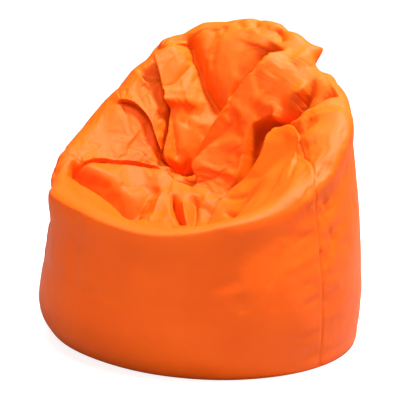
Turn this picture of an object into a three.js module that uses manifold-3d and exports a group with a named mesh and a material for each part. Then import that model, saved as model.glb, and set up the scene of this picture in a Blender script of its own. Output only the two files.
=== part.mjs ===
// Bean bag chair: a drum-shaped cover with a scooped seat and a high back, sewn from three side
// panels and a round base panel, over an inner liner bag full of polystyrene beads. A zip in the
// back seam of the cover lets the liner in and out.
//
// Units are millimetres, +Z is up, the floor is z = 0 and the seat opens towards -Y. Directions
// round the bag are degrees from the front (-Y), growing towards +X.

import * as THREE from "three";
import { mergeVertices } from "three/addons/utils/BufferGeometryUtils.js";
import Module from "manifold-3d";

const wasm = await Module();
wasm.setup();

// ---------------------------------------------------------------- driving dimensions

// The outer surface, column by column, every 30 degrees from the front. base is the radius of the
// flat underside; wall is the radius half way up; rim and rimZ are the crest of the rim; shoulder,
// middle and low are the seat's heights on the way from the rim to the seat point.
const COLUMNS = [
  { base: 350, wall: 402, rim: 350, rimZ: 350, shoulder: 310, middle: 285, low: 335 },
  { base: 378, wall: 404, rim: 350, rimZ: 382, shoulder: 350, middle: 300, low: 335 },
  { base: 398, wall: 404, rim: 350, rimZ: 455, shoulder: 430, middle: 345, low: 345 },
  { base: 396, wall: 400, rim: 352, rimZ: 565, shoulder: 540, middle: 410, low: 355 },
  { base: 384, wall: 391, rim: 336, rimZ: 640, shoulder: 625, middle: 490, low: 380 },
  { base: 370, wall: 388, rim: 318, rimZ: 748, shoulder: 720, middle: 560, low: 420 },
  { base: 362, wall: 388, rim: 315, rimZ: 762, shoulder: 735, middle: 585, low: 435 },
  { base: 364, wall: 387, rim: 320, rimZ: 712, shoulder: 690, middle: 560, low: 430 },
  { base: 374, wall: 390, rim: 325, rimZ: 572, shoulder: 567, middle: 485, low: 405 },
  { base: 386, wall: 392, rim: 340, rimZ: 460, shoulder: 455, middle: 410, low: 375 },
  { base: 354, wall: 393, rim: 346, rimZ: 408, shoulder: 380, middle: 345, low: 350 },
  { base: 336, wall: 397, rim: 350, rimZ: 380, shoulder: 345, middle: 300, low: 335 },
];
const COLUMN_STEP = 360 / COLUMNS.length;
const BULGE_RADIUS = 408; // the widest ring, low on the wall
const BULGE_Z = 85;
const FOOT_Z = 35; // the wall turns under the bag below this height
const SHOULDER_DROP = 85; // the wall turns in towards the rim this far below it
const WALL_AT = 0.55; // the height of the wall radius, between the bulge and that turn
const SEAT_POINT = new THREE.Vector3(-90, 75, 375); // where the three side seams meet in the seat
const SHOULDER_AT = 0.17; // how far shoulder, middle and low lie from the rim to the seat point
const MIDDLE_AT = 0.5;
const LOW_AT = 0.8;

// Layers, as depths below the outer surface, and the heights of their flat undersides.
const COVER = { depth: 0, floor: 0 };
const COVER_INSIDE = { depth: 2.5, floor: 3 };
const LINER = { depth: 12, floor: 3.5 };
const LINER_INSIDE = { depth: 14, floor: 5.5 };
const FILL = { depth: 14.5, floor: 6.2 };
const GAP = 0.4; // clearance between neighbouring pieces

const SEAM_ANGLES = [60, 180, 300]; // the side seams, from the wall to the seat point
const SEAM_GAP = 0.5;
const SEAT_HOLE = 6; // the panels stop this far apart round the seat point, where the seams meet

// The closed-end zip lies in the back seam. Its slider rests at the bottom when the zip is closed.
const ZIP_ANGLE = 180;
const ZIP_LOW_Z = 180;
const ZIP_LENGTH = 330;
const ZIP_SINK = 3.4; // the zip's middle line lies this far below the wall's surface
const ZIP_SLOT = { width: 16, overrun: 7 };
const TAPE = { inner: 0.8, outer: 13, top: -4.3, thickness: 0.8, overrun: 12 };
const COIL = { inner: 0.9, outer: 3.6, top: -1.9, thickness: 2.1 };
const STOP = { length: 4, top: -1.6, thickness: 2.4 };
const SLIDER = { length: 16, width: 11, plate: 1.4, web: 0.9, lowerWidth: 9, lowerTop: -5.5, lower: 1.1 };
const BRIDGE = { from: 3, to: 13, width: 1.6, height: 3.2, bar: 1.2, post: 2 };
const PULL = { pin: 0.8, pinZ: 6, width: 8, hole: 4.4, holeEnd: 9, length: 34, thickness: 1.6 };

// The liner closes with a hook strip and a loop strip on its back, beside the zip.
const CLOSURE = { from: 184, to: 188, low: 3.4, high: 4.1 };
const CLOSURE_LAYERS = { hook: [9, 10.2], loop: [10.6, 11.6] };

// A blank care label lies on the wall near the base, held by the base seam.
const LABEL = { from: 193, to: 197, low: 2, high: 2.85, layer: [-1.1, -0.4] };

// ---------------------------------------------------------------- the outer surface

// Uniform Catmull-Rom blend of one column value round the bag.
function aroundBag(angle, key) {
  const place = (((angle % 360) + 360) % 360) / COLUMN_STEP;
  const i = Math.floor(place);
  const t = place - i;
  const n = COLUMNS.length;
  const [a, b, c, d] = [-1, 0, 1, 2].map((k) => COLUMNS[(i + k + n) % n][key]);
  const linear = (c - a) * t;
  const square = (2 * a - 5 * b + 4 * c - d) * t * t;
  const cube = (3 * b - a - 3 * c + d) * t * t * t;
  return 0.5 * (2 * b + linear + square + cube);
}

// The points that one column's profile passes through, from under the bag to the seat point.
function profilePoints(angle) {
  const turn = THREE.MathUtils.degToRad(angle);
  const at = (radius, z) => new THREE.Vector3(radius * Math.sin(turn), -radius * Math.cos(turn), z);
  const base = aroundBag(angle, "base");
  const wall = aroundBag(angle, "wall");
  const rim = aroundBag(angle, "rim");
  const rimZ = aroundBag(angle, "rimZ");
  const crest = at(rim, rimZ);
  const seat = (fraction, key) => {
    const point = crest.clone().lerp(SEAT_POINT, fraction);
    return point.setZ(aroundBag(angle, key));
  };
  return [
    at(base * 0.55, 0),
    at(base, 0),
    at(base + 0.62 * (BULGE_RADIUS - base), FOOT_Z),
    at(BULGE_RADIUS, BULGE_Z),
    at(wall, BULGE_Z + WALL_AT * (rimZ - SHOULDER_DROP - BULGE_Z)),
    at(rim + 0.62 * (wall - rim), rimZ - SHOULDER_DROP),
    at(rim + 28, rimZ - 18),
    crest,
    seat(SHOULDER_AT, "shoulder"),
    seat(MIDDLE_AT, "middle"),
    seat(LOW_AT, "low"),
    SEAT_POINT.clone(),
  ];
}

// A point of the surface. row counts the profile's points: 1 is the edge of the underside, 7 the
// rim's crest and 11 the seat point. The curve is a Catmull-Rom with centripetal spacing.
const FIRST_ROW = 1;
const LAST_ROW = 11;
function surfacePoint(angle, row) {
  const points = profilePoints(angle);
  const i = Math.min(Math.floor(row), LAST_ROW - 1);
  const last = points[LAST_ROW];
  const after = i + 2 > LAST_ROW ? last.clone().multiplyScalar(2).sub(points[i]) : points[i + 2];
  const knots = [points[i - 1], points[i], points[i + 1], after];
  const times = [0];
  for (let k = 1; k < 4; k++) times.push(times[k - 1] + Math.sqrt(knots[k].distanceTo(knots[k - 1])));
  const t = times[1] + (times[2] - times[1]) * (row - i);
  const mix = (p, q, a, b) => p.clone().lerp(q, (t - a) / (b - a));
  const low = [0, 1, 2].map((k) => mix(knots[k], knots[k + 1], times[k], times[k + 1]));
  const high = [0, 1].map((k) => mix(low[k], low[k + 1], times[k], times[k + 2]));
  return mix(high[0], high[1], times[1], times[2]);
}

// A point below the surface by depth, measured along the surface's normal.
function layerPoint(angle, row, depth) {
  const point = surfacePoint(angle, row);
  if (row >= LAST_ROW) return point.setZ(point.z - depth);
  const low = Math.max(row - 0.05, FIRST_ROW);
  const high = Math.min(row + 0.05, LAST_ROW);
  const along = surfacePoint(angle, high).sub(surfacePoint(angle, low));
  const round = surfacePoint(angle + 1, row).sub(surfacePoint(angle - 1, row));
  const outward = round.cross(along).normalize();
  return point.addScaledVector(outward, -depth);
}

// ---------------------------------------------------------------- solids

// A geometry of plain triangles from points and corner indices.
function geometryFrom(points, corners) {
  const geometry = new THREE.BufferGeometry().setFromPoints(points);
  geometry.setIndex(corners);
  return geometry;
}

// A closed geometry as a solid that can be cut and joined.
function solidFrom(geometry) {
  const plain = geometry.clone();
  plain.deleteAttribute("normal");
  plain.deleteAttribute("uv");
  const merged = mergeVertices(plain, 1e-4);
  return new wasm.Manifold(
    new wasm.Mesh({
      numProp: 3,
      vertProperties: merged.attributes.position.array,
      triVerts: new Uint32Array(merged.index.array),
    }),
  );
}

// A solid back as a geometry.
function geometryOf(solid) {
  const mesh = solid.getMesh();
  const geometry = new THREE.BufferGeometry();
  geometry.setAttribute("position", new THREE.BufferAttribute(mesh.vertProperties, 3));
  geometry.setIndex(new THREE.BufferAttribute(mesh.triVerts, 1));
  geometry.computeVertexNormals();
  return geometry;
}

// The whole bag at one depth: rings from the underside to the seat point, closed by a fan at each end.
// The facets start half a step off the front, so that the seams run down the middle of a facet.
const AROUND = 36;
const ROW_STEP = 0.5;
function bagSolid({ depth, floor }) {
  const points = [new THREE.Vector3(0, 0, floor)];
  const corners = [];
  const rings = (LAST_ROW - FIRST_ROW) / ROW_STEP;
  for (let ring = 0; ring < rings; ring++) {
    for (let side = 0; side < AROUND; side++) {
      const angle = ((side + 0.5) * 360) / AROUND;
      const point = layerPoint(angle, FIRST_ROW + ring * ROW_STEP, depth);
      if (ring === 0) point.setZ(floor);
      points.push(point);
    }
  }
  points.push(layerPoint(0, LAST_ROW, depth));
  const at = (ring, side) => 1 + ring * AROUND + (side % AROUND);
  for (let side = 0; side < AROUND; side++) {
    corners.push(0, at(0, side + 1), at(0, side));
    for (let ring = 0; ring < rings - 1; ring++) {
      const [a, b] = [at(ring, side), at(ring, side + 1)];
      const [c, d] = [at(ring + 1, side), at(ring + 1, side + 1)];
      corners.push(a, b, d, a, d, c);
    }
    corners.push(at(rings - 1, side), at(rings - 1, side + 1), points.length - 1);
  }
  return solidFrom(geometryFrom(points, corners));
}

// A box between two corners, as a solid, moved by an optional matrix.
function boxSolid(low, high, matrix = new THREE.Matrix4()) {
  const box = new THREE.BoxGeometry(high[0] - low[0], high[1] - low[1], high[2] - low[2]);
  box.translate((low[0] + high[0]) / 2, (low[1] + high[1]) / 2, (low[2] + high[2]) / 2);
  box.applyMatrix4(matrix);
  return solidFrom(box);
}

// Everything between two heights.
const FAR = 1000;
const slab = (low, high) => boxSolid([-FAR, -FAR, low], [FAR, FAR, high]);

// A thin upright blade between two points of the plan, which parts two panels along a seam.
function bladeSolid(from, to) {
  const run = to.clone().sub(from);
  const matrix = new THREE.Matrix4().makeRotationZ(Math.atan2(run.y, run.x));
  matrix.setPosition(from.x, from.y, 0);
  return boxSolid([0, -SEAM_GAP / 2, -FAR], [Math.hypot(run.x, run.y), SEAM_GAP / 2, FAR], matrix);
}

// A patch that follows the surface between two depths, over a range of angles and rows.
function patchGeometry({ from, to, low, high, layer }, steps = [4, 6]) {
  const points = [];
  const corners = [];
  for (const depth of layer) {
    for (let j = 0; j <= steps[1]; j++) {
      for (let i = 0; i <= steps[0]; i++) {
        const angle = from + ((to - from) * i) / steps[0];
        points.push(layerPoint(angle, low + ((high - low) * j) / steps[1], depth));
      }
    }
  }
  const size = (steps[0] + 1) * (steps[1] + 1);
  const at = (side, j, i) => side * size + j * (steps[0] + 1) + i;
  const quad = (a, b, c, d) => corners.push(a, b, c, a, c, d);
  for (let j = 0; j < steps[1]; j++) {
    for (let i = 0; i < steps[0]; i++) {
      quad(at(0, j, i), at(0, j, i + 1), at(0, j + 1, i + 1), at(0, j + 1, i));
      quad(at(1, j, i), at(1, j + 1, i), at(1, j + 1, i + 1), at(1, j, i + 1));
    }
    quad(at(0, j, 0), at(0, j + 1, 0), at(1, j + 1, 0), at(1, j, 0));
    quad(at(0, j, steps[0]), at(1, j, steps[0]), at(1, j + 1, steps[0]), at(0, j + 1, steps[0]));
  }
  for (let i = 0; i < steps[0]; i++) {
    quad(at(0, 0, i), at(1, 0, i), at(1, 0, i + 1), at(0, 0, i + 1));
    quad(at(0, steps[1], i), at(0, steps[1], i + 1), at(1, steps[1], i + 1), at(1, steps[1], i));
  }
  return geometryFrom(points, corners);
}

// ---------------------------------------------------------------- the zip's own frame

// The height of a surface point grows with its row, so a bisection finds the row of a height.
function rowAtHeight(angle, z) {
  let [low, high] = [FIRST_ROW, 7];
  for (let k = 0; k < 40; k++) {
    const middle = (low + high) / 2;
    if (surfacePoint(angle, middle).z < z) low = middle;
    else high = middle;
  }
  return low;
}

// The frame's origin is the zip's low end in the wall, z runs up the wall and y points out of it.
function zipFrame() {
  const low = surfacePoint(ZIP_ANGLE, rowAtHeight(ZIP_ANGLE, ZIP_LOW_Z));
  const high = surfacePoint(ZIP_ANGLE, rowAtHeight(ZIP_ANGLE, ZIP_LOW_Z + ZIP_LENGTH));
  const lean = Math.atan2(low.y - high.y, high.z - low.z);
  const outward = new THREE.Vector3(0, Math.cos(lean), Math.sin(lean));
  return { origin: low.addScaledVector(outward, -ZIP_SINK), lean };
}
const ZIP = zipFrame();
const ZIP_MATRIX = new THREE.Matrix4().makeRotationX(ZIP.lean).setPosition(ZIP.origin);

// ---------------------------------------------------------------- the assembly

const COLOURS = {
  cover: [0xf2561a, 0.55, 0],
  base: [0xd94c14, 0.7, 0],
  liner: [0xf1efe8, 0.8, 0],
  beads: [0xfbfbf8, 0.9, 0],
  tape: [0xe8561f, 0.85, 0],
  coil: [0xe04e12, 0.45, 0],
  metal: [0xb9bcc0, 0.35, 1],
  label: [0xf6f4ee, 0.8, 0],
};

const bag = new THREE.Group();
const zip = new THREE.Group();
zip.position.copy(ZIP.origin);
zip.rotation.x = ZIP.lean;
bag.add(zip);

// Adds one named piece, coloured by its material.
function addPiece(parent, name, shape, material) {
  const [color, roughness, metalness] = COLOURS[material];
  const mesh = new THREE.Mesh(shape, new THREE.MeshStandardMaterial({ color, roughness, metalness }));
  mesh.name = name;
  parent.add(mesh);
}

// The cover's wall, cut along the seams into its three side panels, with the zip's slot.
function addCover() {
  const outer = bagSolid(COVER);
  const wall = outer.subtract(bagSolid(COVER_INSIDE)).intersect(slab(COVER_INSIDE.floor + GAP, FAR));
  let cutters = boxSolid(
    [-ZIP_SLOT.width / 2, -30, -ZIP_SLOT.overrun],
    [ZIP_SLOT.width / 2, 30, ZIP_LENGTH + ZIP_SLOT.overrun],
    ZIP_MATRIX,
  );
  const hole = new THREE.CylinderGeometry(SEAT_HOLE / 2, SEAT_HOLE / 2, 200, 12);
  hole.rotateX(Math.PI / 2);
  hole.translate(SEAT_POINT.x, SEAT_POINT.y, SEAT_POINT.z);
  cutters = cutters.add(solidFrom(hole));
  for (const angle of SEAM_ANGLES) {
    const turn = THREE.MathUtils.degToRad(angle);
    const rim = aroundBag(angle, "rim");
    const crest = new THREE.Vector3(rim * Math.sin(turn), -rim * Math.cos(turn), 0);
    cutters = cutters.add(bladeSolid(SEAT_POINT, crest));
    cutters = cutters.add(bladeSolid(crest, crest.clone().multiplyScalar(2)));
  }
  const names = { 0: "cover_front_panel", 120: "cover_right_panel", 240: "cover_left_panel" };
  for (const panel of wall.subtract(cutters).decompose()) {
    const box = panel.boundingBox();
    const x = (box.min[0] + box.max[0]) / 2;
    const y = (box.min[1] + box.max[1]) / 2;
    const middle = THREE.MathUtils.radToDeg(Math.atan2(x, -y));
    const sector = (Math.round(middle / 120) * 120 + 360) % 360;
    addPiece(bag, names[sector], geometryOf(panel), "cover");
  }
  addPiece(bag, "cover_base_panel", geometryOf(outer.intersect(slab(COVER.floor, COVER_INSIDE.floor))), "base");
}

// The liner bag, a side with an open bottom and a round base, and the beads in it.
function addLinerAndFill() {
  const outer = bagSolid(LINER);
  const side = outer.subtract(bagSolid(LINER_INSIDE)).intersect(slab(LINER_INSIDE.floor + GAP, FAR));
  addPiece(bag, "liner_side", geometryOf(side), "liner");
  addPiece(bag, "liner_base", geometryOf(outer.intersect(slab(LINER.floor, LINER_INSIDE.floor))), "liner");
  for (const [name, layer] of Object.entries(CLOSURE_LAYERS)) {
    addPiece(bag, `liner_${name}_strip`, patchGeometry({ ...CLOSURE, layer }), "tape");
  }
  addPiece(bag, "bead_fill", geometryOf(bagSolid(FILL)), "beads");
}

// A straight bar of the zip, in the zip's frame, on one side of its middle line.
function addZipBar(name, side, section, z, material) {
  const [inner, outer] = [section.inner * side, section.outer * side];
  const bottom = section.top - section.thickness;
  const box = new THREE.BoxGeometry(Math.abs(outer - inner), section.thickness, z[1] - z[0]);
  box.translate((inner + outer) / 2, (section.top + bottom) / 2, (z[0] + z[1]) / 2);
  addPiece(zip, name, box, material);
}

// Tapes and coils on both sides, a stop on each coil's closed end and one across the open end.
function addZipChain() {
  const sides = { left: 1, right: -1 };
  for (const [word, side] of Object.entries(sides)) {
    addZipBar(`zip_tape_${word}`, side, TAPE, [-TAPE.overrun, ZIP_LENGTH + TAPE.overrun], "tape");
    addZipBar(`zip_coil_${word}`, side, COIL, [0, ZIP_LENGTH], "coil");
    const stop = { ...COIL, ...STOP };
    addZipBar(`zip_top_stop_${word}`, side, stop, [-GAP - STOP.length, -GAP], "metal");
  }
  const across = { inner: -COIL.outer, outer: COIL.outer, top: STOP.top, thickness: STOP.thickness };
  const start = ZIP_LENGTH + GAP;
  addZipBar("zip_bottom_stop", 1, across, [start, start + STOP.length], "metal");
}

// The slider: an upper and a lower plate joined by a thin web that runs between the coils, with a
// lengthwise bridge on top that holds the pull tab's pin.
function addSlider() {
  const { length, width, plate, web, lowerWidth, lowerTop, lower } = SLIDER;
  const half = BRIDGE.width / 2;
  const clear = BRIDGE.height - BRIDGE.bar;
  const solids = [
    boxSolid([-width / 2, -plate, GAP], [width / 2, 0, length]),
    boxSolid([-web / 2, lowerTop - lower / 2, GAP + 3], [web / 2, -plate / 2, length - 3]),
    boxSolid([-lowerWidth / 2, lowerTop - lower, GAP], [lowerWidth / 2, lowerTop, length]),
    boxSolid([-half, clear, BRIDGE.from], [half, BRIDGE.height, BRIDGE.to]),
    boxSolid([-half, -plate / 2, BRIDGE.from], [half, BRIDGE.height, BRIDGE.from + BRIDGE.post]),
    boxSolid([-half, -plate / 2, BRIDGE.to - BRIDGE.post], [half, BRIDGE.height, BRIDGE.to]),
  ];
  addPiece(zip, "zip_slider", geometryOf(solids.reduce((all, next) => all.add(next))), "metal");
}

// The pull tab hangs from its pin: a plate with a window that the slider's bridge passes through.
function addPullTab() {
  const middleY = (BRIDGE.height - BRIDGE.bar) / 2;
  const half = PULL.width / 2;
  const windowTop = PULL.pinZ;
  const pin = new THREE.CylinderGeometry(PULL.pin, PULL.pin, PULL.width, 12);
  pin.rotateZ(Math.PI / 2);
  pin.translate(0, middleY, PULL.pinZ);
  const low = middleY - PULL.thickness / 2;
  const high = middleY + PULL.thickness / 2;
  const plate = boxSolid([-half, low, PULL.pinZ - PULL.length], [half, high, windowTop]);
  const window = boxSolid(
    [-PULL.hole / 2, low - 1, PULL.pinZ - PULL.holeEnd],
    [PULL.hole / 2, high + 1, windowTop + 1],
  );
  addPiece(zip, "zip_pull_tab", geometryOf(plate.subtract(window).add(solidFrom(pin))), "metal");
}

addCover();
addLinerAndFill();
addZipChain();
addSlider();
addPullTab();
addPiece(bag, "care_label", patchGeometry(LABEL), "label");

export default bag;
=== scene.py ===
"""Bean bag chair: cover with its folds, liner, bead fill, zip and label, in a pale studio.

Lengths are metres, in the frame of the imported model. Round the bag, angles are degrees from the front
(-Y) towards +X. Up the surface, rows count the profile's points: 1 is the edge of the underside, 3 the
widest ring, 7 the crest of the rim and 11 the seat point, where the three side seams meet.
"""

import math
import random

import bpy
import numpy as np
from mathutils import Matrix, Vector


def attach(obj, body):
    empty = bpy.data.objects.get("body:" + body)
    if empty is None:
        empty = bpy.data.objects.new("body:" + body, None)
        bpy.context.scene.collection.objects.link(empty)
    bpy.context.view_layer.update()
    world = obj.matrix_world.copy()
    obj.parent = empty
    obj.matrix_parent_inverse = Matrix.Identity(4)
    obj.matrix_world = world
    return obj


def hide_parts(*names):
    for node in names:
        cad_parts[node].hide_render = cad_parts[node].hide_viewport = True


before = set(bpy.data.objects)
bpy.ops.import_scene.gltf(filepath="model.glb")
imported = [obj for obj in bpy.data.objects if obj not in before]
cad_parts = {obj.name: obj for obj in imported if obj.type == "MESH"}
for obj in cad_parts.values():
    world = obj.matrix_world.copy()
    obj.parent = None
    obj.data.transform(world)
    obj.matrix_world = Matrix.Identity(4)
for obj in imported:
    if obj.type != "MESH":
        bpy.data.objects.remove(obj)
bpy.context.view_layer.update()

# ---------------------------------------------------------------- the surface under the folds

# One profile every 30 degrees: underside radius, wall radius, rim radius and height, and the seat's
# height at its shoulder, middle and bottom.
PROFILES = [
    (0.350, 0.402, 0.350, 0.350, 0.310, 0.285, 0.335),
    (0.378, 0.404, 0.350, 0.382, 0.350, 0.300, 0.335),
    (0.398, 0.404, 0.350, 0.455, 0.430, 0.345, 0.345),
    (0.396, 0.400, 0.352, 0.565, 0.540, 0.410, 0.355),
    (0.384, 0.391, 0.336, 0.640, 0.625, 0.490, 0.380),
    (0.370, 0.388, 0.318, 0.748, 0.720, 0.560, 0.420),
    (0.362, 0.388, 0.315, 0.762, 0.735, 0.585, 0.435),
    (0.364, 0.387, 0.320, 0.712, 0.690, 0.560, 0.430),
    (0.374, 0.390, 0.325, 0.572, 0.567, 0.485, 0.405),
    (0.386, 0.392, 0.340, 0.460, 0.455, 0.410, 0.375),
    (0.354, 0.393, 0.346, 0.408, 0.380, 0.345, 0.350),
    (0.336, 0.397, 0.350, 0.380, 0.345, 0.300, 0.335),
]

# The rest of each profile, from the underside's flat middle up to the seat point that they all share.
UNDERSIDE_SHARE = 0.55
FOOT_SHARE = 0.62
FOOT_Z = 0.035
BULGE_RADIUS = 0.408
BULGE_Z = 0.085
WALL_AT = 0.55
TURN_SHARE = 0.62
TURN_DROP = 0.085
RIM_ROLL = 0.028
RIM_DROP = 0.018
SEAT_POINT = np.array([-0.090, 0.075, 0.375])
SEAT_FRACTIONS = (0.17, 0.5, 0.8)
LAST_ROW = 11


def blend4(p0, p1, p2, p3, t):
    """Uniform Catmull-Rom between p1 and p2."""
    linear = (p2 - p0) * t
    square = (2 * p0 - 5 * p1 + 4 * p2 - p3) * t**2
    cube = (3 * p1 - p0 - 3 * p2 + p3) * t**3
    return 0.5 * (2 * p1 + linear + square + cube)


def profile_points(angle):
    """The points each angle's profile passes through: an array (angles, 12, 3)."""
    table = np.array(PROFILES)
    count = len(table)
    place = (angle % 360) / (360 / count)
    i = np.floor(place).astype(int)
    t = (place - i)[:, None]
    values = blend4(*(table[(i + k) % count] for k in (-1, 0, 1, 2)), t)
    base, wall, rim, rim_z, shoulder, middle, low = values.T
    turn = np.radians(angle)
    out = np.stack([np.sin(turn), -np.cos(turn)], axis=1)

    def at(radius, z):
        plan = out * np.reshape(radius * np.ones_like(base), (-1, 1))
        return np.column_stack([plan, z * np.ones_like(base)])

    crest = at(rim, rim_z)

    def seat(fraction, z):
        plan = crest[:, :2] * (1 - fraction) + SEAT_POINT[:2] * fraction
        return np.column_stack([plan, z])

    points = [
        at(base * UNDERSIDE_SHARE, 0),
        at(base, 0),
        at(base + FOOT_SHARE * (BULGE_RADIUS - base), FOOT_Z),
        at(BULGE_RADIUS, BULGE_Z),
        at(wall, BULGE_Z + WALL_AT * (rim_z - TURN_DROP - BULGE_Z)),
        at(rim + TURN_SHARE * (wall - rim), rim_z - TURN_DROP),
        at(rim + RIM_ROLL, rim_z - RIM_DROP),
        crest,
        seat(SEAT_FRACTIONS[0], shoulder),
        seat(SEAT_FRACTIONS[1], middle),
        seat(SEAT_FRACTIONS[2], low),
        np.tile(SEAT_POINT, (len(base), 1)),
    ]
    points.append(2 * points[-1] - points[-2])
    return np.stack(points, axis=1)


def surface(angle, row):
    """Points of the smooth surface, by a Catmull-Rom with centripetal spacing up each profile."""
    angle, row = np.broadcast_arrays(np.asarray(angle, float), np.asarray(row, float))
    shape = angle.shape
    angle, row = angle.ravel(), row.ravel()
    points = profile_points(angle)
    i = np.minimum(np.floor(row).astype(int), LAST_ROW - 1)
    each = np.arange(len(i))
    knots = [points[each, i + k] for k in (-1, 0, 1, 2)]
    times = [np.zeros(len(i))]
    for a, b in zip(knots[:-1], knots[1:]):
        times.append(times[-1] + np.sqrt(np.maximum(np.linalg.norm(b - a, axis=1), 1e-9)))
    t = times[1] + (times[2] - times[1]) * (row - i)

    def mix(p, q, a, b):
        f = ((t - a) / (b - a))[:, None]
        return p * (1 - f) + q * f

    low = [mix(knots[k], knots[k + 1], times[k], times[k + 1]) for k in range(3)]
    high = [mix(low[k], low[k + 1], times[k], times[k + 2]) for k in range(2)]
    return mix(high[0], high[1], times[1], times[2]).reshape(*shape, 3)


def unit(v):
    """Vectors at length one."""
    return v / np.maximum(np.linalg.norm(v, axis=-1, keepdims=True), 1e-12)


def normals(angle, row):
    """Outward unit normals of the smooth surface."""
    angle, row = np.broadcast_arrays(np.asarray(angle, float), np.asarray(row, float))
    row = np.clip(row, 1.05, LAST_ROW - 0.12)
    round_ = surface(angle + 1, row) - surface(angle - 1, row)
    along = surface(angle, row + 0.05) - surface(angle, row - 0.05)
    return unit(np.cross(round_, along))


# ---------------------------------------------------------------- seams and folds

# Each side seam as (row, angle): straight up the wall, then pulled sideways by the seat's folds.
RIGHT_SEAM = [
    (1, 60), (6, 60), (7, 64), (7.8, 72), (8.15, 83), (8.3, 97), (8.5, 110), (9.2, 112), (11, 100),
]
BACK_SEAM = [
    (1, 180), (4.5, 180), (4.75, 182), (5, 185), (5.5, 193), (6, 200), (6.5, 206), (7, 211),
    (7.6, 215), (8.2, 215), (9, 210), (9.5, 215), (11, 228),
]
LEFT_SEAM = [
    (1, 288), (5, 286), (7, 277), (7.5, 277.5), (8, 280.5), (8.5, 273), (9, 265), (9.5, 257),
    (10.2, 243), (11, 238),
]


def seam_angle(seam, row):
    """The seam's angle at each row, straight between its points."""
    rows, angles = np.array(seam).T
    return np.interp(row, rows, angles)
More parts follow.
